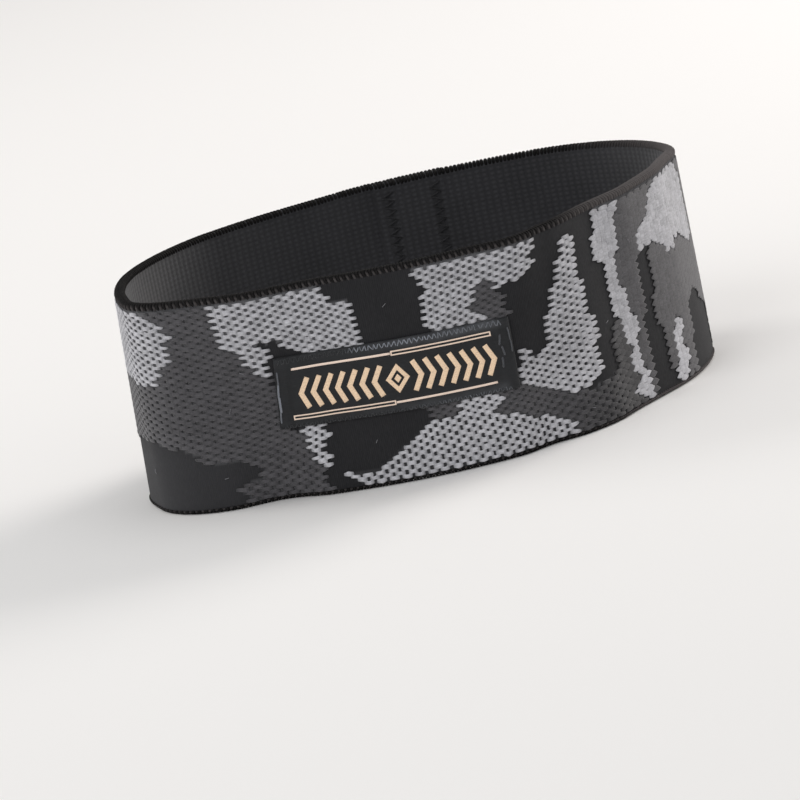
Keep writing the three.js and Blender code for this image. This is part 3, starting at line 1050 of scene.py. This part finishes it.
class BAND_OT_selvedges(bpy.types.Operator):
    """Wrap both rims with fine upright threads"""

    bl_idname = "bicep_band.selvedges"
    bl_label = "Selvedges"

    def execute(self, context):
        webbing = context.scene.band_webbing
        finish = thread_finish("selvedge_thread", webbing.rib_colour, 0.0, 2.6)
        random = np.random.default_rng(23)
        radius = mm(webbing.rib_width) / 2
        places = rib_places(webbing)
        sizes = radius * np.gradient(places) / (mm(webbing.narrow_pitch) / 2)
        turn = np.linspace(0, 2 * np.pi, RIB_SIDES + 1)
        for rim in RIMS:
            sheet = Sheet()
            line = rib_line(rim, radius * RIB_FLATNESS)
            away = np.clip(BAND_WIDTH - line[:, :1] - RIB_TOP, 0, None) * (line[:, 2:3] < 0.5)
            if rim.name == "selvedge_lower":
                line = (line * (-1, 1, 1, 1) + (BAND_WIDTH, 0, 0, 0))[::-1]
                away = away[::-1]
            upward, outward = unit(np.gradient(line[:, :2], axis=0)).T[:, :, None]
            height, depth, share, thickness = line.T[:, :, None]
            length = lengths_along(line)[:, None]
            for k, (place, size) in enumerate(zip(places, sizes, strict=True)):
                s = place + random.normal(0, 0.03) + RIB_LEAN * away
                thick = size * random.normal(1, 0.05) * thickness
                over = RIB_FLATNESS * thick * np.sin(turn)
                z = np.clip(height + over * outward, 0, BAND_WIDTH)
                points = cloth.across(s + thick * np.cos(turn), z, depth - over * upward, share)
                strand = np.stack(np.broadcast_arrays(length, turn * radius), -1)
                bake = [seat(k, len(places), turn / turn[-1]), length / length[-1]]
                maps = {"strand": strand + np.multiply(RIB_SHIFT, k),
                        BAKE_MAP: np.stack(np.broadcast_arrays(*bake), -1)}
                show = RIB_LIGHT * random.normal(1, 0.12) if k % 2 == 0 else 2 * RIB_DARK
                tone = RIB_DARK + (show - RIB_DARK) * smooth(away / LIGHT_REACH)
                # Painted sheen: the threads are paler at the right.
                tone = tone + (RIB_SHEEN_TONE - tone) * np.interp(place % LOOP, *RIB_PAINTED_SHEEN)
                sheet.add_grid(points[:, :-1], maps, {"tone": tone})
            sheet.piece(rim.name, [finish], WEBBING_SLOT)
        return {"FINISHED"}


# Two rows of zigzag stitches hold the join, on both faces, and stay clear of the rims. Each reaches
# a little past the next one's end.
SEAM_ROWS = [LAP.start + 2.2, LAP_END - 2.4]
SEAM_PITCH = 1.8
SEAM_WIDTH = 2.2
SEAM_MARGIN = 2.2
SEAM_OVERLAP = 0.06


class BAND_OT_seam(bpy.types.Operator):
    """Sew the join at the back with two rows of zigzag stitches"""

    bl_idname = "bicep_band.seam"
    bl_label = "Join at the back"

    def execute(self, context):
        finish = thread_finish("seam_thread", context.scene.band_webbing.ground_colour, 0.1)
        heights = np.arange(SEAM_MARGIN, BAND_WIDTH - SEAM_MARGIN, SEAM_PITCH / 2)
        angle = math.degrees(math.atan2(SEAM_PITCH / 2, SEAM_WIDTH))
        count = len(heights) * len(SEAM_ROWS)
        stitches = {
            "s": np.repeat(SEAM_ROWS, len(heights)),
            "z": np.tile(heights, len(SEAM_ROWS)),
            "half_length": math.hypot(SEAM_WIDTH, SEAM_PITCH / 2) / 2 + SEAM_OVERLAP,
            "half_width": 0.16,
            "height": 0.34,
            "slant": np.where(np.arange(count) % 2 == 0, angle, -angle),
            "tone": np.random.default_rng(5).random(count) * 0.5 + 0.5,
        }
        for name, face, bed in (("seam_stitches_outer", cloth.outer, 0.24),
                                ("seam_stitches_inner", cloth.inner, 0.1)):
            sheet = Sheet()
            add_floats(sheet, face, bed=bed, arch=0.6, **stitches)
            sheet.piece(name, [finish], WEBBING_SLOT)
        return {"FINISHED"}


# How much thicker the ribbon is where its ends are folded under, counted from either end.
FOLD = ([0, 0.3, 0.8, 1.6, 2.3, 3, 3.6], [0.02, 0.28, 0.42, 0.46, 0.4, 0.08, 0])
# How far in its edges and its ends are rounded, and the share of its height that is left there.
ROUND_EDGE = 0.55
ROUND_END = 0.4
ROUND_LEFT = 0.25
# The stitches pull its border down by so much, and up to about so far from it.
STITCH_PULL = 0.17
STITCH_REACH = 0.9
# Between them it puckers by so much, and a hollow follows the long edges: its depth, its place from
# the edge and its breadth.
PUCKER = 0.05
PUCKER_PITCH = 1.86
HOLLOW = (0.1, 1.5, 0.7)
# The ribbon's points: close together at its long edges and its ends, and evenly spaced further in.
# The underside has one row for every six.
EDGE_ROWS = np.array([0, 0.03, 0.08, 0.16, 0.28])
INNER_ROWS = np.linspace(0.45, LABEL.height - 0.45, 60)
END_STATIONS = np.array([0, 0.04, 0.1, 0.18, 0.28, 0.4])
INNER_STATIONS = np.arange(0.6, LABEL.length - 0.5, 0.24)
UNDER_ROWS = 6
# A painted highlight lies along the edges as a pale haze, where the rounded edges would catch the
# # light, most of it at the upper right: how far, at each place along the label, how far in from the
# # edge, how broad it is, and how much of it the lower edge has.
EDGE_HIGHLIGHT = ([12, 26, 34, 41.2, 42.4], [0.1, 0.75, 1, 0.9, 0.1])
EDGE_HIGHLIGHT_INSET = 0.7
EDGE_HIGHLIGHT_BREADTH = 0.95
LOWER_EDGE_HIGHLIGHT = 0.5


def ribbon_foot(along, up):
    """How far the ribbon's underside stands out."""
    return LABEL.gap - STITCH_PULL * np.exp(-np.minimum(*from_border(along, up)) / STITCH_REACH)


def ribbon_height(along, up, thickness):
    """How far the ribbon's face stands out from the webbing's, with its folded ends, its rounded
    edges and the small waves between the stitches."""
    from_end, from_edge = np.broadcast_arrays(*from_border(along, up))
    edge, end = (np.sqrt(1 - (1 - np.clip(away / limit, 0, 1)) ** 2)
                 for away, limit in ((from_edge, ROUND_EDGE), (from_end, ROUND_END)))
    pucker = PUCKER * np.sin(2 * np.pi * along / PUCKER_PITCH) * np.exp(-from_edge / STITCH_REACH)
    waves = (0.05 * np.sin(along * 0.31 + 0.6 * np.sin(up * 0.5))
             + 0.03 * np.sin(along * 0.83 + up * 0.4 + 1))
    depth, place, breadth = HOLLOW
    hollow = depth * np.exp(-((from_edge - place) / breadth) ** 2)
    body = thickness + np.interp(from_end, *FOLD) + waves + pucker - hollow
    return ribbon_foot(along, up) + body * (ROUND_LEFT + (1 - ROUND_LEFT) * edge * end)


class BAND_OT_label(bpy.types.Operator):
    """Lay the satin ribbon on the front, with both ends folded under"""

    bl_idname = "bicep_band.label"
    bl_label = "Label ribbon"

    def execute(self, context):
        label = context.scene.band_label
        stations = np.concatenate([END_STATIONS, INNER_STATIONS, LABEL.length - END_STATIONS[::-1]])
        rows = np.concatenate([EDGE_ROWS, INNER_ROWS, LABEL.height - EDGE_ROWS[::-1]])
        under = rows[::-UNDER_ROWS]
        along, up = stations[:, None], np.concatenate([rows, under])
        out = np.concatenate([ribbon_height(along, rows, mm(label.thickness)),
                              ribbon_foot(along, under)], 1)
        around = np.concatenate([rows, 2 * LABEL.height - under, [2 * LABEL.height]])
        cloth_map = grid(stations, around)
        maps = {"cloth": cloth_map, BAKE_MAP: cloth_map / (LABEL.length, 2 * LABEL.height)}
        from_edge = from_border(along, up)[1]
        # The painted highlight along the edges.
        edge = np.interp(along, *EDGE_HIGHLIGHT) * np.exp(-((from_edge - EDGE_HIGHLIGHT_INSET) / EDGE_HIGHLIGHT_BREADTH) ** 2)
        edge *= np.where(up < LABEL.height / 2, LOWER_EDGE_HIGHLIGHT, 1)
        sheet = Sheet()
        sheet.add_grid(on_label(along, up, out), maps, {"edge": edge})
        piece = sheet.piece("label_ribbon", [ribbon_finish(label.ribbon_colour)], LABEL_SLOT)
        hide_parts("label")
        return {"FINISHED"}


# The longest span of a printed stroke, and its section: shares of its width and of the foil's
# thickness, and how deep it lies in the ribbon.
PRINT_STEP = 0.5
PRINT_PROFILE = [(-0.5, 0, 0.08), (-0.5, 0.4, 0), (-0.38, 1, 0), (0, 1.15, 0), (0.38, 1, 0),
                 (0.5, 0.4, 0), (0.5, 0, 0.08)]


def line_points(path):
    """The points of a polyline, with more of them where a span is long."""
    path = np.array(path, float)
    points = [path[:1]]
    for first, second in zip(path, path[1:]):
        spans = math.ceil(np.hypot(*(second - first)) / PRINT_STEP)
        points.append(first + (second - first) * np.arange(1, spans + 1)[:, None] / spans)
    return np.concatenate(points)


def add_stroke(sheet, path, width, label, closed=False, pale=0.0):
    """Adds a printed stroke on the ribbon, along a path of (along, up) and with mitred corners."""
    line = line_points(path + path[:1])[:-1] if closed else line_points(path)
    before, after = np.roll(line, 1, 0), np.roll(line, -1, 0)
    if not closed:
        before[0] = 2 * line[0] - line[1]
        after[-1] = 2 * line[-1] - line[-2]
    into = unit(line - before)
    ahead = unit(into + unit(after - line))
    side = ahead[:, ::-1] * (1, -1) / (ahead * into).sum(1)[:, None]
    across, foil, deep = np.array(PRINT_PROFILE).T
    spots = line[:, None] + side[:, None] * across[:, None] * width
    along, up = spots[..., 0], spots[..., 1]
    out = ribbon_height(along, up, mm(label.thickness)) + foil * mm(label.foil_thickness) - deep
    points = on_label(along, up, out)
    spots = np.pad(spots, ((0, int(closed)), (0, 1), (0, 0)), "wrap")
    maps = {"cloth": spots, BAKE_MAP: spots / (LABEL.length, LABEL.height)}
    sheet.add_grid(points, maps, {"pale": pale}, wrap_rows=closed)


# The print, measured along the label and up from its lower edge. Each rule is a single line for one
# half of its length and a narrow frame for the other, whose line is finer by this share.
Rule = namedtuple("Rule", "up line_start line_end frame_start frame_end")
RULES = [Rule(11.0, 3.3, 21.6, 21.8, 40.1), Rule(1.95, 21.6, 39.9, 3.0, 21.4)]
FRAME_HALF = 0.32
FRAME_LINE = 0.62
LINE_PALE = 0.9
FRAME_PALE = 0.7
# Between the rules stands a row of chevrons that point away from the middle, where two diamonds lie
# one inside the other.
ORNAMENT_MIDDLE = 22.4
ORNAMENT_UP = 6.3
CHEVRON_HALF = 2.8
CHEVRONS = 7
FIRST_CHEVRON = 4.25
CHEVRON_PITCH = 2.24
CHEVRON_DEPTH = 1.35
Diamond = namedtuple("Diamond", "half_width half_height stroke")
DIAMONDS = [Diamond(1.7, 2.125, 0.75), Diamond(0.3, 0.375, 0.56)]


class BAND_OT_print(bpy.types.Operator):
    """Print the metallic rules and the ornament on the ribbon"""

    bl_idname = "bicep_band.print"
    bl_label = "Metallic print"

    def execute(self, context):
        label = context.scene.band_label
        sheet = Sheet()
        line = mm(label.rule_width)
        for rule in RULES:
            single = [(rule.line_start, rule.up), (rule.line_end, rule.up)]
            add_stroke(sheet, single, line, label, pale=LINE_PALE)
            low, high = rule.up - FRAME_HALF, rule.up + FRAME_HALF
            around = [(rule.frame_start, low), (rule.frame_end, low),
                      (rule.frame_end, high), (rule.frame_start, high)]
            add_stroke(sheet, around, line * FRAME_LINE, label, closed=True, pale=FRAME_PALE)
        for side in (-1, 1):
            for k in range(CHEVRONS):
                tip = ORNAMENT_MIDDLE + side * (FIRST_CHEVRON + k * CHEVRON_PITCH)
                root = tip - side * CHEVRON_DEPTH
                chevron = [(root, ORNAMENT_UP + CHEVRON_HALF), (tip, ORNAMENT_UP),
                           (root, ORNAMENT_UP - CHEVRON_HALF)]
                add_stroke(sheet, chevron, mm(label.stroke_width), label)
        for wide, tall, stroke in DIAMONDS:
            diamond = [(ORNAMENT_MIDDLE - wide, ORNAMENT_UP), (ORNAMENT_MIDDLE, ORNAMENT_UP - tall),
                       (ORNAMENT_MIDDLE + wide, ORNAMENT_UP), (ORNAMENT_MIDDLE, ORNAMENT_UP + tall)]
            add_stroke(sheet, diamond, stroke, label, closed=True)
        finish = foil_finish(label.foil_colour, label.rule_colour)
        sheet.piece("label_print", [finish], LABEL_SLOT)
        return {"FINISHED"}


# The stitches along the long edges: their height on the label, half their length, and how light the
# # thread is painted at each place along it, a painted highlight where the stitches catch the light.
# # They slant by turns, and begin this far from the label's ends.
STITCH_ROWS = [(LABEL.height - 0.74, 0.5, ([13, 17, 26, 34, 43], [0, 0.9, 0.95, 0.5, 0.35])),
               (0.42, 0.38, ([20, 26, 36, 43], [0, 0.12, 0.28, 0.2]))]
STITCH_SLANTS = (68, 112)
STITCH_MARGIN = 1.2
# Threads along the folded ends: along, up, half length, half width, slant in degrees and lightness.
END_THREADS = [(0.66, 9.6, 1.3, 0.16, 92, 0.35), (0.55, 7.2, 1.4, 0.22, 87, 0.65),
               (0.66, 4.7, 1.5, 0.24, 93, 0.75), (0.55, 2.3, 1.1, 0.18, 88, 0.5),
               (41.5, 9.6, 1.0, 0.16, 80, 0.17), (41.8, 7.5, 0.9, 0.16, 98, 0.19),
               (41.4, 5.4, 1.0, 0.16, 86, 0.16), (43.3, 10.4, 1.2, 0.14, 93, 0.2),
               (43.4, 8.1, 1.1, 0.14, 88, 0.17)]


class BAND_OT_label_stitches(bpy.types.Operator):
    """Sew the label down with slanted stitches along its long edges"""

    bl_idname = "bicep_band.label_stitches"
    bl_label = "Label stitches"

    def execute(self, context):
        label = context.scene.band_label
        finish = thread_finish("label_thread", label.stitch_colour, 0.25)
        random = np.random.default_rng(31)
        pitch = mm(label.stitch_pitch)
        count = int((LABEL.length - 2 * STITCH_MARGIN) / pitch) * 2
        step = np.arange(count)
        along = STITCH_MARGIN + step * pitch / 2 + random.normal(0, 0.05, count)
        slant = np.where(step % 2 == 0, *STITCH_SLANTS) + random.normal(0, 7, count)
        rows = len(STITCH_ROWS) + 1

        def on_edge(along, up, out):
            """The ribbon's face, from which a stitch comes down to the webbing past its edges."""
            on = np.clip(up, 0, LABEL.height)
            height = ribbon_height(along, on, mm(label.thickness)) * np.exp(-((up - on) / 0.3) ** 2)
            return on_label(along, up, np.maximum(height, LABEL.gap) + out)

        sheet = Sheet()
        for row, (up, half_length, show) in enumerate(STITCH_ROWS):
            # Painted highlight: the stitches are lighter where they catch the light.
            tone = np.clip(np.interp(along, *show) * random.normal(1, 0.3, count), 0, 1.2)
            add_floats(sheet, on_edge, along, up, random.normal(half_length, 0.06, count),
                       half_width=random.normal(0.09, 0.008, count), height=0.16, slant=slant,
                       tone=tone, bed=0.02, arch=0.7, row=row, rows=rows)
        along, up, half_length, half_width, slant, tone = np.array(END_THREADS).T
        add_floats(sheet, on_edge, along, up, half_length, half_width, height=0.24, slant=slant,
                   tone=tone, bed=0.03, arch=0.4, row=rows - 1, rows=rows)
        sheet.piece("label_stitches", [finish], LABEL_SLOT)
        return {"FINISHED"}


# A few stray fibres that have settled on the cloth: s, z, length, turn in degrees.
FIBRES = [(29.4, 6.2, 0.8, 10), (32.6, 18.4, 1.1, 70), (36.2, 25.1, 0.9, 150), (109.3, 18.2, 1, 20),
          (121.4, 30.2, 1, 120), (64.2, 33, 0.9, 40), (12.5, 8, 1, 95), (100.5, 4.4, 0.9, 165),
          (58, 8.6, 0.7, 60), (181, 20, 1.2, 30), (236, 12, 1, 100), (262, 30, 1.1, 60)]


class BAND_OT_lint(bpy.types.Operator):
    """Scatter a few stray fibres on the cloth"""

    bl_idname = "bicep_band.lint"
    bl_label = "Stray fibres"

    def execute(self, context):
        finish = thread_finish("stray_fibre", context.scene.band_webbing.light_colour, 0.0)
        s, z, length, turn = np.array(FIBRES).T
        sheet = Sheet()
        add_floats(sheet, cloth.outer, s, z, length / 2, half_width=0.05, height=0.12, slant=turn,
                   tone=0.4, bed=0.24, arch=1.0)
        sheet.piece("stray_fibres", [finish], WEBBING_SLOT)
        return {"FINISHED"}


# Unstretched, the label's stretch of elastic is as long as the label, and the rest is pulled out.
STRETCH = 1.17
HELD_LENGTH = LABEL.length + 1.0
FLAT_LENGTH = HELD_LENGTH + (LOOP - HELD_LENGTH) / STRETCH + LAP.width


class BAND_OT_declare(bpy.types.Operator):
    """Check that every piece is made; the cut sizes of the two strips are worked out but not stated"""

    bl_idname = "bicep_band.declare"
    bl_label = "Cut sizes"

    def execute(self, context):
        names = ("webbing_cloth", "label_ribbon", "selvedge_upper", "selvedge_lower", "label_print")
        found = [bpy.data.objects.get(name) for name in names]
        if None in found:
            raise RuntimeError("make every piece before its cut size is stated")
        FLAT_LENGTH * MM
        LABEL.height * MM
        return {"FINISHED"}


# The camera looks at this point, in millimetres from the band's leftmost point at the lower rim.
AIM = (47.9, 1.8, 8.6)
# The floor and the lamps are in metres.
FLOOR_RADIUS = 6.0
FLOOR_SIDES = 96

Lamp = namedtuple("Lamp", "name place size power tint")
LAMPS = [
    Lamp("key", (-0.65, -0.95, 0.75), 0.9, 5.0, (1, 1, 1)),
    Lamp("fill", (0.9, -0.8, 0.55), 0.9, 0.6, (1, 1, 1)),
    Lamp("right_edge", (0.82, 0.58, 0.45), 0.6, 7.4, (1, 0.95, 0.91)),
    Lamp("left_edge", (-0.9, 0.4, 0.4), 0.6, 3.5, (1, 0.98, 0.96)),
    Lamp("overhead", (0.1, 0.2, 1.4), 1.2, 2.8, (1, 1, 1)),
]


def add_camera(studio):
    """Adds the camera. It looks down on the band and is rolled about its own axis."""
    e, r = studio.elevation, studio.roll
    origin = Vector(cloth.shift)
    place = origin + studio.distance * Vector((0, -math.cos(e), math.sin(e)))
    forward = (origin + Vector(AIM) * MM - place).normalized()
    level_up = Vector((0, math.sin(e), math.cos(e)))
    up = math.sin(r) * Vector((1, 0, 0)) + math.cos(r) * level_up
    right = forward.cross(up).normalized()
    up = right.cross(forward)
    data = bpy.data.cameras.new("camera")
    data.sensor_width = 36
    data.lens = studio.focal_length
    data.clip_start = 0.05
    data.clip_end = 50
    camera = new_object("camera", data)
    camera.matrix_world = Matrix.Translation(place) @ Matrix((right, up, -forward)).transposed().to_4x4()
    bpy.context.scene.camera = camera


def add_lamp(lamp, scale):
    data = bpy.data.lights.new(lamp.name, "AREA")
    data.shape = "DISK"
    data.size = lamp.size
    data.energy = lamp.power * scale
    data.color = lamp.tint
    light = new_object(lamp.name, data)
    light.location = lamp.place
    middle = Vector((0, 0, BAND_WIDTH * MM / 2))
    light.rotation_euler = (middle - light.location).to_track_quat("-Z", "Y").to_euler()


def add_floor(colour):
    finish = Finish("pale_floor")
    mottle = finish.noise(finish.node("ShaderNodeTexCoord", output="Object"), 3, 3)
    look = finish.mix(mottle, *shades(colour, 0.985, 1))
    mesh = bpy.data.meshes.new("floor")
    turn = np.arange(FLOOR_SIDES) * math.tau / FLOOR_SIDES
    edge = [(FLOOR_RADIUS * math.cos(a), FLOOR_RADIUS * math.sin(a), 0) for a in turn]
    mesh.from_pydata(edge, [], [list(range(FLOOR_SIDES))])
    mesh.materials.append(finish.surface(look, 0.9, gloss=0.1))
    new_object("floor", mesh)


class BAND_OT_studio(bpy.types.Operator):
    """Set up the pale floor, the soft lights and the camera"""

    bl_idname = "bicep_band.studio"
    bl_label = "Studio"

    def execute(self, context):
        scene = context.scene
        studio = scene.band_studio
        add_floor(studio.floor_colour)
        scene.world = bpy.data.worlds.new("surroundings")
        scene.world.use_nodes = True
        background = scene.world.node_tree.nodes["Background"]
        background.inputs["Color"].default_value = (1, 1, 1, 1)
        background.inputs["Strength"].default_value = studio.world_strength
        for lamp in LAMPS:
            add_lamp(lamp, studio.light_scale)
        scene.view_settings.view_transform = "Standard"
        add_camera(studio)
        return {"FINISHED"}


OPERATORS = [BAND_OT_ground, BAND_OT_figure, BAND_OT_selvedges, BAND_OT_seam, BAND_OT_label,
             BAND_OT_print, BAND_OT_label_stitches, BAND_OT_lint, BAND_OT_declare, BAND_OT_studio]
SETTINGS = {"band_webbing": WebbingSettings, "band_label": LabelSettings, "band_studio": StudioSettings}


class BAND_PT_panel(bpy.types.Panel):
    """Makes the band piece by piece"""

    bl_idname = "BAND_PT_panel"
    bl_label = "Bicep band"
    bl_space_type = "VIEW_3D"
    bl_region_type = "UI"
    bl_category = "Bicep band"

    def draw(self, context):
        for operator in OPERATORS:
            self.layout.operator(operator.bl_idname)
        for group in SETTINGS:
            settings = getattr(context.scene, group)
            box = self.layout.box()
            for name in settings.bl_rna.properties.keys():
                if name not in ("rna_type", "name"):
                    box.prop(settings, name)


CLASSES = [*SETTINGS.values(), *OPERATORS, BAND_PT_panel]


def register():
    for cls in CLASSES:
        bpy.utils.register_class(cls)
    for name, cls in SETTINGS.items():
        setattr(bpy.types.Scene, name, PointerProperty(type=cls))


def unregister():
    for name in SETTINGS:
        delattr(bpy.types.Scene, name)
    for cls in reversed(CLASSES):
        bpy.utils.unregister_class(cls)


def main():
    register()
    bpy.ops.bicep_band.ground()
    bpy.ops.bicep_band.figure()
    bpy.ops.bicep_band.selvedges()
    bpy.ops.bicep_band.seam()
    bpy.ops.bicep_band.label()
    bpy.ops.bicep_band.print()
    bpy.ops.bicep_band.label_stitches()
    bpy.ops.bicep_band.lint()
    bpy.ops.bicep_band.declare()
    bpy.ops.bicep_band.studio()


if __name__ == "__main__":
    main()
